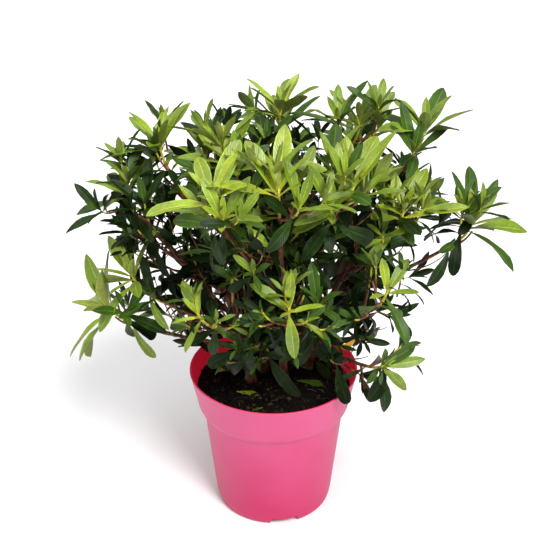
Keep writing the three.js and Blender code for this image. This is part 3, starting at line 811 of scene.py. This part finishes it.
# %% The kinds of twig, and which ones are there
LEADING, SIDE, FINE = range(3)  # then shade twigs and suckers
# A kind's gloom is painted shade as well as age: twigs inside the crown get darker leaves.
traits = {  # of leading, side, fine, shade twigs and suckers
    "gloom": (0.0, 2.0, 2.6, 2.5, 2.4),  # how many tones darker the leaves are than the leading whorl's
    "cover": (1, 1, 1, 0.75, 0.9),  # the share with leaves, over the mass's own
    "shoot": (24.0, 18.0, 13.0, 8.0, 10.0),  # mm of this year's growth
    "upright": (1.0, 0.7, 0.6, 0.5, 0.7),  # how far a shoot in the light turns up
    "vigour": (1.0, 0.85, 0.75, 0.7, 0.75),  # the size of the leaves
    "leaves": (12, 8, 7, 6, 8),  # how many stand in a whorl
    "foot": (1.45, 1.1, 0.8, 0.6, 1.0),  # the twig's radius where it starts
    "joint": (1.1, 0.85, 0.65, 0.4, 0.6),  # and where this year's growth begins
    "in front": (0.62, 0.45, 0.3, 0.2, 0.4),  # how much shorter a leaf is that points out of the front
    "first old": (0.8, 0.35, 0.35, 0.35, 0.5),  # the share of the wood below last year's leaves
    "old": (0.8, 0.8, 0.5, 0.5, 0.9),  # the share of last year's leaves that are still there
}
traits = {name: np.array(values) for name, values in traits.items()}
sky_height = 250.0  # above it a bare twig would show against the sky and is pruned

families = (limbs, side_twigs, fine_twigs, shade_twigs, suckers)
curves = np.concatenate(families)
starts = np.concatenate([ends, np.zeros(len(curves) - len(ends))])
kind = np.repeat(np.arange(len(families)), [len(family) for family in families])
mass_of = np.concatenate([np.repeat(mass, len(family) // len(names)) for family in families])

# Twigs inside the crown have darker leaves, partly from age and partly as painted shade. High side twigs
# stand in more light, so theirs are painted lighter.
gloom = traits["gloom"][kind]
gloom[(kind == SIDE) | (kind == FINE)] -= 1.2 * np.tile(up_share, 2 * len(names))

# Some shoots have lost all their leaves, most of all in the open masses, and many of those have gone too.
twig_number = np.arange(len(curves))
cover = np.where(kind == LEADING, 1, traits["cover"][kind] * covers[mass_of])
leafy = draw(twig_number, 8) < cover
bare = (draw(twig_number, 56) > mix(0.9, 0.2, covers[mass_of])) & (curves[:, 2, 2] < sky_height)
columns = (curves, starts, kind, mass_of, gloom, twig_number, leafy)
curves, starts, kind, mass_of, gloom, twig_number, leafy = (values[leafy | bare] for values in columns)
print("twigs: %d leading, %d side, %d fine, %d in the shade, %d suckers" % tuple(np.bincount(kind)))

# %% Young shoots
# The last stretch of every twig is this year's growth. It turns up to the light, less so low in the plant.
dim_height, light_rise = 150.0, 120.0  # where the dim part of the plant ends, and over how much it lightens
upright_dim, upright_light = 0.3, 0.95  # how far a leading shoot turns up, in the dim part and in the light
shoot_span, straight_share = 0.8, 0.45  # the share of its growth that it spans, and of that before it turns
one_leaf_less = 0.4  # the share of whorls that lack a leaf

length = length_of(curves)
shoot_length = np.minimum(traits["shoot"][kind], 0.5 * (length * (1 - starts)))
wood_end = 1 - shoot_length / length
base = at(curves, wood_end)
way = heading(curves, wood_end)
light = np.clip((base[:, 2] - dim_height) / light_rise, 0, 1)
rising = unit(mix(way, UP, (mix(upright_dim, upright_light, light) * traits["upright"][kind])[:, None]))
stride = shoot_span * shoot_length[:, None]
elbow = base + straight_share * stride * way
shoots = np.stack([base, elbow, elbow + (1 - straight_share) * stride * rising], -2)
vigour = (traits["vigour"][kind] * vigours[mass_of] * mix(0.92, 1.08, draw(twig_number, 5)))[:, None]
count = np.where(leafy, traits["leaves"][kind] - (draw(twig_number, 6) < one_leaf_less), 0)
print("shoots: tips from %d to %d mm up" % (shoots[:, 2, 2].min(), shoots[:, 2, 2].max()))

# %% Twig mesh
wood_steps, shoot_steps, twig_sides = 8, 6, 6
wood_knot, shoot_knot = 0.06, 0.03
shoot_taper = 0.75
RED, AMBER, GREEN = range(3)  # the twigs' materials


def strip_slots(by_step, sides):
    """The material of each face of skins whose steps have these materials: sides, then both end fans."""
    fan = sides // 2 - 1
    return np.concatenate([np.repeat(by_step, sides, 1), np.repeat(by_step[:, [0, -1]], fan, 1)], 1).ravel()


foot_radii, joint_radii = traits["foot"][kind], traits["joint"][kind]
wood_radii = taper(foot_radii, joint_radii, wood_steps)
shoot_radii = taper(joint_radii, shoot_taper * joint_radii, shoot_steps)
buried = 0.5 / length  # both ends of the wood go half a millimetre into what they join
wood_rings = tubes(curves, starts - buried, wood_end + buried, wood_radii, twig_sides, wood_knot, seed=21)
shoot_rings = tubes(shoots, 0 * starts, 1 + 0 * starts, shoot_radii, twig_sides, shoot_knot, seed=22)

barks = [
    bark_material("azalea_twig_red_brown", crack="#42221a", plate="#985a38", spacing=0.003, depth=0.0002),
    bark_material("azalea_twig_amber", crack="#8a5a2e", plate="#b28f3c", spacing=0.003, depth=0.0001),
    bark_material("azalea_shoot_green", crack="#b3a92c", plate="#d2ca3a", spacing=0.003, depth=0.0001),
]
wood_slots = np.full((len(curves), wood_steps - 1), RED)
shoot_slots = np.full((len(curves), shoot_steps - 1), GREEN)
wood_slots[:, -1], shoot_slots[:, 0] = AMBER, AMBER
wood_slots[count == 0], shoot_slots[count == 0] = RED, RED
wood_points, wood_faces = skins(wood_rings)
shoot_points, shoot_faces = skins(shoot_rings)
twig_points = np.concatenate([wood_points, shoot_points])
twig_faces = np.concatenate([wood_faces, shoot_faces + len(wood_points)])
twig_slots = np.concatenate([strip_slots(slots, twig_sides) for slots in (wood_slots, shoot_slots)])
foliage_nodes = ["foliage_" + name for name in names]
keep(new_piece("twigs", twig_points, twig_faces, barks, twig_slots), "bark", *foliage_nodes)

# %% [markdown]
# ## Leaves
# An azalea leaf is a narrow blade up to 45 mm long on a short stalk. It is folded a little along a pale
# midrib, arches outwards, and is matt and paler beneath. It could be a flat card with a picture of a leaf.
# Here it is a thin closed skin in its own outline, so that it has an edge, a fold and two sides from every
# view. Every leaf of one tone comes out of the same few calls on arrays.

# %% One leaf, many times
leaf_stations = np.array([0, 0.08, 0.18, 0.32, 0.48, 0.64, 0.79, 0.9, 0.97, 1.0])
leaf_thickness = 0.35
stalk_half_width, tip_half_width = 0.55, 0.15
leaf_curl, edge_wave = 0.12, 0.14
rib = 0.055  # half the midrib's width over half the blade's
BLADE, MIDRIB, UNDERSIDE = range(3)
# A section of a leaf: how far each corner is to the side, how high through the thickness, and the finish of
# the face after it. Leaves in the light have a curled blade, and those in the shade a flat one.
curled = (
    np.array([1, 0.55, rib, -rib, -0.55, -1, -rib, rib]),
    np.array([0.5, 1, 0.3, 0.3, 1, 0.5, -0.6, -0.6]),
    np.array([BLADE, BLADE, MIDRIB, BLADE, BLADE, UNDERSIDE, UNDERSIDE, UNDERSIDE]),
)
flat = (
    np.array([1, rib, -rib, -1, -rib, rib]),
    np.array([0.5, 0.4, 0.4, 0.5, -0.6, -0.6]),
    np.array([BLADE, MIDRIB, BLADE, UNDERSIDE, UNDERSIDE, UNDERSIDE]),
)


def outline(s, pointed):
    """Half-width over its widest, at share s of the length: s^a (1 - s)^b, from a spoon's to a lance's."""
    a, b = mix(1.45, 1.1, pointed), mix(0.55, 0.95, pointed)
    widest = a / (a + b)
    return s**a * (1 - s) ** b / (widest**a * (1 - widest) ** b)


def column(values):
    """One value for each leaf, in a shape that meets all its stations and corners."""
    return np.asarray(values, float)[:, None, None]


def leaf_rings(section, root, along, face, length, width, arch, fold, twist, pointed, seed):
    """Rings of leaves. The midrib is an arc: L sin(arch s) / arch forward, L (1 - cos(arch s)) / arch down.
    Across it the blade rises by fold |t| half-widths and falls by its curl times t^2, the edge waves
    slightly, and it all turns about the midrib by twist s."""
    s, t = leaf_stations[None, :, None], section[0][None, None, :]
    length, arch, roll = column(length), column(np.maximum(arch, 0.02)), column(twist) * s
    narrowest = np.where(s < 0.5, stalk_half_width, tip_half_width)
    half = np.maximum(column(width) / 2 * outline(s, column(pointed)), narrowest)
    forward, up = length * np.sin(arch * s) / arch, -length * (1 - np.cos(arch * s)) / arch
    lift = half * (column(fold) * np.abs(t) - leaf_curl * t**2) + leaf_thickness * (section[1] - 0.5)
    lift = lift + edge_wave * half * t * np.sin(9 * s + FULL_PHASE * draw(column(seed), 7))
    aside = half * t * np.cos(roll) - lift * np.sin(roll)
    above = half * t * np.sin(roll) + lift * np.cos(roll)
    forward, up = forward + above * np.sin(arch * s), up + above * np.cos(arch * s)
    vectors = [v[:, None, None] for v in (along, np.cross(face, along), face)]
    return root[:, None, None] + sum(c[..., None] * v for c, v in zip((forward, aside, up), vectors))


demo = leaf_rings(curled, *(np.eye(3)[[i]] for i in (0, 1, 2)), *([v] for v in (35, 11, 0.6, 0.3, 0, 1, 1)))
print("one leaf: %d faces, %s mm" % (len(skins(demo)[1]), np.ptp(demo[0], axis=(0, 1)).round(1)))

# %% [markdown]
# A shoot's leaves stand at the golden angle round its last centimetre. The outer ones are full grown and
# lie flat or hang, the inner ones are young, upright and short, and together they make a funnel. Below the
# whorl the twig keeps some of last year's leaves, broader, blunter, darker and hanging. Low on the plant
# everything hangs more, and deep in it the leaves are darker. On the front of the plant a funnel is looked
# into, past small leaves: its largest leaf stands on the far side, and it has four leaves fewer.

# %% How a leaf stands on its twig
sag_low, sag_low_height, sag_high_height = 0.5, 140.0, 290.0


def grow(curves, t, tilt, azimuth):
    """Root, direction and upper side of leaves at t, turned down by the sag for their height."""
    root = at(curves, t)
    twig = heading(curves, t)
    sag = sag_low * (1 - np.clip((root[..., 2] - sag_low_height) / (sag_high_height - sag_low_height), 0, 1))
    along = unit(aim(twig, tilt, azimuth) - UP * (sag * np.sin(np.radians(tilt)))[..., None])
    face = unit(twig - (twig * along).sum(-1, keepdims=True) * along)
    return root, along, face


# %% This year's whorls
whorl_count = 12
whorl_stagger, whorl_inset = 8.0, 0.6  # mm of the shoot over which the leaves stand, and from them to its tip
full_spread = 11.0  # mm: on a shorter shoot the leaves stand at the same shares of it as on one this long
leaf_length = 40.0
shelter_tones, spray_tones = 1.5, 0.9  # how much darker it gets to the crown's centre, and how shoots differ
crown_centre, crown_radii = np.array([10.0, 10.0, 205.0]), np.array([150.0, 115.0, 125.0])
front_depth, back_share = 60.0, 0.3  # a mass so far forward is all front, and one at the back this much
fewer_in_front = 4  # leaves
crown_height = 250.0  # above it the funnels at the front are turned
full_turn = 135.0  # degrees that one right at the front is turned
seeds_per_twig = 31.0

# Painted shade: leaves towards the crown's centre take darker tones, on top of the shade the outer leaves
# cast.
shelter = np.clip(1 - np.linalg.norm((shoots[:, 2] - crown_centre) / crown_radii, axis=-1), 0, 1)[:, None]
number = twig_number[:, None]
leading = (kind == LEADING)[:, None]
spray_tone = tones[mass_of][:, None] + gloom[:, None] + shelter_tones * shelter
spray_tone = spray_tone + spray_tones * (draw(number, 13) - 0.5)
front_share = np.clip(-whorls[mass_of, 1] / front_depth, back_share, 1)[:, None]
count = count[:, None] - fewer_in_front * (leading & (front_share > 0.9))

i = np.arange(whorl_count)
skipped = np.where(leading, whorl_count - count, 0)
inward = np.clip((i - skipped) / (whorl_count - 1 - skipped), 0, 1)
seeds = number * seeds_per_twig + i
# On the front of the crown the first leaf is turned from the outer side of its shoot towards the inner side.
facing_front = np.clip(-whorls[:, 1] / np.hypot(whorls[:, 0], whorls[:, 1]), 0, 1)
aside_turn = full_turn * (facing_front * (whorls[:, 2] > crown_height))[mass_of][:, None]
hand = np.where(draw(number, 57) < 0.5, -1, 1)
stray = 60 * (draw(number, 3) - 0.5) * (1 - aside_turn / 200) + 14 * (draw(seeds, 9) - 0.5)
azimuth = 90 + stray + hand * (GOLDEN_ANGLE * (i - skipped) - aside_turn)
hang = np.sin(np.radians(azimuth))  # 1 for a leaf on the outer side of its shoot, -1 on the inner side
whorl = dict(
    there=i >= whorl_count - count,
    t=1 - (whorl_stagger * (1 - inward) + whorl_inset) / np.maximum(shoot_length, full_spread)[:, None],
    tilt=mix(54, 12, inward**2.2) + mix(18, 4, inward) * hang + 10 * (draw(seeds, 10) - 0.5),
    azimuth=azimuth,
    length=leaf_length * mix(1.08, 0.38, inward**2.2) * mix(0.88, 1.12, draw(seeds, 1)) * vigour,
    width=mix(0.265, 0.245, inward) * mix(0.9, 1.1, draw(seeds, 4)),
    arch=mix(0.5, 0.15, inward) * mix(0.3, 1.6, draw(seeds, 2)),
    fold=mix(0.36, 0.55, inward),
    pointed=mix(0.5, 0.9, inward) * mix(0.8, 1.0, draw(seeds, 12)),
    tone=spray_tone + mix(0.6, -1.2, inward) + 1.1 * (draw(seeds, 14) - 0.5),
    seed=seeds,
    in_front=traits["in front"][kind][:, None] * np.clip(4 * inward, 0, 1) * front_share,
    drops=False,
)
print("whorls: %d, with %.1f leaves each" % ((count > 0).sum(), count[count > 0].mean()))

# %% Last year's leaves
# On a leading twig they are narrow and stand left and right, so that the bark shows. Low in the plant they
# are large and broad, and some are about to drop.
old_count = 3
large_height, large_rise = 225.0, 40.0
drop_share = 0.16

j = np.arange(old_count)
seeds = number * seeds_per_twig + 20 + j
lowness = np.clip((large_height - curves[:, 2, 2]) / large_rise, 0, 1)[:, None] * ~leading
first_old = traits["first old"][kind][:, None]
old_azimuth, old_stray = np.where(leading, 180 * j, 90 + GOLDEN_ANGLE * j), np.where(leading, 50, 200)
old = dict(
    there=(draw(seeds, 18) < traits["old"][kind][:, None]) & (count > 0),
    t=mix(starts[:, None], wood_end[:, None], mix(first_old, 1.0, (j + draw(seeds, 15)) / old_count)),
    tilt=mix(62, 96, draw(seeds, 16)),
    azimuth=old_azimuth + old_stray * (draw(seeds, 17) - 0.5),
    length=leaf_length * mix(0.62, 0.98, draw(seeds, 1)) * mix(vigour, np.maximum(vigour, 1.0), lowness),
    width=np.where(leading, 0.22, mix(0.26, 0.33, draw(seeds, 4))) + 0.07 * lowness,
    arch=mix(0.5, 1.3, draw(seeds, 2)),
    fold=0.25,
    pointed=0.5 * draw(seeds, 12),
    tone=spray_tone + np.where(leading, 1.2, 1.9) + 1.2 * (draw(seeds, 14) - 0.5),
    seed=seeds,
    in_front=0.0,
    drops=draw(seeds, 58) < drop_share,
)
print("old leaves: %d at most" % old["there"].sum())

# %% [markdown]
# A leaf's upper side is a satin green, yellower by the stalk and deeper at the tip, with soft patches, a
# fine mottle and a paler rim that is a painted highlight. The midrib is paler, and the underside pale and
# matt. Leaves darken with age, and the darker tones are also painted shade for leaves deep in the crown, so
# the plant has six greens from lime to nearly black, and an amber one for leaves that are about to drop.


# %% Leaf tones
def leaf_material(name, colour, heart, roughness, gloss):
    """A leaf's finish: a ramp along the leaf, times noise of two sizes, the side veins' sine wave and a
    paler margin, which is a painted highlight along the rim. The mesh's own attributes say where along and
    across the leaf a point is."""
    material, tree, place = new_material(name)
    layers = ("share", "margin", "vein")
    layers = [add(tree, "Attribute", attribute_name=layer).outputs["Fac"] for layer in layers]
    share, margin, vein = layers
    heart, base = (np.array(linear(c)[:3]) for c in (heart, colour))
    along_leaf = ((0.04, heart), (0.35, 1.08 * base), (1.0, 0.82 * base))
    stops = [(position, (*np.clip(value, 0, 1), 1)) for position, value in along_leaf]
    run = add(tree, "ValToRGB", {"Fac": share}, stops)
    patch = add(tree, "TexNoise", {"Vector": place, "Scale": 1 / 0.018, "Detail": 3.0})
    mottle = add(tree, "TexNoise", {"Vector": place, "Scale": 1 / 0.0018, "Detail": 2.0})
    wave = add(tree, "Math", {0: vein}, operation="SINE")
    gain = 1.0
    for source, *ranges in (
        (patch, 0.3, 0.7, 0.68, 1.3),
        (mottle, 0.3, 0.7, 0.86, 1.14),
        (wave, -1.0, 1.0, 0.93, 1.07),
        # The paler margin is a painted highlight: each leaf's rim is lighter, as if it caught the light.
        (margin, 0.8, 1.0, 1.0, 1.7),
    ):
        ranges = dict(zip(("From Min", "From Max", "To Min", "To Max"), ranges))
        level = add(tree, "MapRange", {"Value": source, **ranges})
        gain = add(tree, "Math", {0: gain, 1: level}, operation="MULTIPLY")
    tint = add(tree, "VectorMath", {"Vector": run, "Scale": gain}, operation="SCALE")
    relief = add(tree, "Bump", {"Height": wave, "Strength": 0.25, "Distance": 0.0002})
    sheen = {"Roughness": roughness, "IOR": 1.45, "Specular IOR Level": gloss}
    surface(tree, {"Base Color": tint, "Normal": relief, **sheen})
    return material


leaf_tones = {  # blade, midrib, underside, gloss
    "lime": ("#92a522", "#ccc82f", "#98a448", 0.75),
    "fresh": ("#869e23", "#c4c234", "#8f9b40", 0.75),
    "mid": ("#6e8721", "#a5ae3e", "#778833", 0.6),
    "deep": ("#385611", "#647a2c", "#485a22", 0.4),
    # The two darkest tones are mostly painted shade, for leaves deep in the crown.
    "dark": ("#192e08", "#334a1a", "#263814", 0.2),
    "shaded": ("#0f1e05", "#223414", "#1a290d", 0.12),
    "amber": ("#d69a2e", "#dcb050", "#c39a4e", 0.3),
}
green_count = 6  # the tones before amber, which a leaf's tone number picks from
amber_index = list(leaf_tones).index("amber")
vein_waves, vein_slant = 14 * 2 * np.pi, 0.22


def section_of(tone):
    """The leaf section that a tone is modelled with."""
    return flat if tone in ("dark", "shaded") else curled


def leaf_piece(tone, rings):
    """All leaves of one tone, from their rings, as one piece with blade, midrib and underside materials."""
    blade, heart, under, gloss = leaf_tones[tone]
    across, _, slot = section_of(tone)
    points, faces = skins(rings)
    by_step = np.tile(slot, (len(leaf_stations) - 1, 1))
    by_step[0] = MIDRIB  # the stalk
    fan = len(across) // 2 - 1
    slots = np.concatenate([by_step.ravel(), np.full(fan, MIDRIB), np.full(fan, UNDERSIDE)])
    finish = [
        leaf_material("azalea_leaf_" + tone, blade, heart, 0.4, gloss),
        leaf_material("azalea_midrib_" + tone, heart, heart, 0.5, gloss),
        leaf_material("azalea_underside_" + tone, under, heart, 0.6, gloss),
    ]
    stations, across = (a.ravel() for a in np.meshgrid(leaf_stations, np.abs(across), indexing="ij"))
    layers = {"vein": vein_waves * (stations - vein_slant * across), "share": stations, "margin": across}
    layers = {name: np.tile(values, len(rings)) for name, values in layers.items()}
    edge = layers["margin"] == 1
    return new_piece("leaves_" + tone, points, faces, finish, np.tile(slots, len(rings)), edge, layers)


# %% Which leaves stay, and in which tone
pot_clear_above, pot_clear_aside = 12.0, 5.0  # a leaf whose tip comes nearer to the pot is left out
band_gap = 2.0  # and so is one that comes nearer to the pot's band
drop_height, drop_reach = 190.0, 70.0  # leaves drop below this height and inside this reach
drop_length = 0.5  # their length over that of a sound leaf


def standing(group, carriers):
    """A group's leaves as columns by name. One that points out of the front is shortened by in_front times
    1.3 times how far it looks forward, and those about to drop, low in the middle, are amber and small."""
    root, along, face = grow(carriers[:, None], group["t"], group["tilt"], group["azimuth"])
    tip = root + along * group["length"][..., None]
    by_the_pot = np.hypot(tip[..., 0], tip[..., 1]) < lip_radius + pot_clear_aside
    chosen = group["there"] & ~(by_the_pot & (tip[..., 2] < pot_height + pot_clear_above))
    leaves = {name: np.broadcast_to(values, chosen.shape)[chosen] for name, values in group.items()}
    root, along, face = root[chosen], along[chosen], face[chosen]
    length = leaves["length"] * (1 - leaves["in_front"] * np.clip(-1.3 * along[:, 1], 0, 1))
    low = (root[:, 2] < drop_height) & (np.hypot(root[:, 0], root[:, 1]) < drop_reach)
    dropping = leaves["drops"] & low
    green = np.clip(np.round(leaves["tone"]), 0, green_count - 1)
    leaves["tone"] = np.where(dropping, amber_index, green)
    leaves["length"] = np.where(dropping, drop_length * length, length)
    leaves["twist"] = 0.9 * (draw(leaves["seed"], 11) - 0.5)
    return dict(leaves, root=root, along=along, face=face, width=leaves["width"] * leaves["length"])


def clear_of_pot(rings):
    """The leaves that keep off the pot's band, which is a cone: its radius grows evenly with height."""
    reach, height = np.hypot(rings[..., 0], rings[..., 1]), rings[..., 2]
    band = mix(band_foot_radius, lip_radius, (height - step_height) / band_height) - wall / 2
    touching = (np.abs(reach - band) < band_gap + wall / 2) & (height < pot_height + 1)
    return rings[~touching.any((1, 2))]


shape_columns = ("root", "along", "face", "length", "width", "arch", "fold", "twist", "pointed", "seed")
tone_rings = {tone: [] for tone in leaf_tones}
for leaves in (standing(whorl, shoots), standing(old, curves)):
    for tone_index, tone in enumerate(leaf_tones):
        shape = (leaves[name][leaves["tone"] == tone_index] for name in shape_columns)
        tone_rings[tone].append(clear_of_pot(leaf_rings(section_of(tone), *shape)))

# %% Leaves that have dropped on the soil
fallen_lift = 1.8  # mm from the soil to the leaf's stalk
fallen = [  # place, azimuth that the tip points to, length, tone
    ((-28, -18), 80, 17, "lime"),
    ((18, -4), 70, 22, "deep"),
    ((-45, 9), 120, 13, "amber"),
    ((-28, 38), 190, 14, "amber"),
    ((34, 24), 20, 26, "dark"),
    ((-8, -41), 300, 9, "deep"),
]
for seed, ((x, y), azimuth, length, tone) in enumerate(fallen):
    root = np.array([[x, y, soil_top(x, y) + fallen_lift]])
    along = unit(polar(azimuth, 1, 0.16 * (draw(seed, 1) - 0.2))[None])
    face = unit(UP - (UP @ along[0]) * along)
    shape = dict(length=length, width=0.34 * length, arch=0.15, fold=0.3, twist=0.1, pointed=0.5, seed=seed)
    shape = {name: [value] for name, value in shape.items()}
    tone_rings[tone].append(leaf_rings(section_of(tone), root, along, face, **shape))

tone_rings = {tone: np.concatenate(rings) for tone, rings in tone_rings.items()}
for tone, rings in tone_rings.items():
    keep(leaf_piece(tone, rings), "foliage", *foliage_nodes)
print("leaves:", sum(len(rings) for rings in tone_rings.values()))
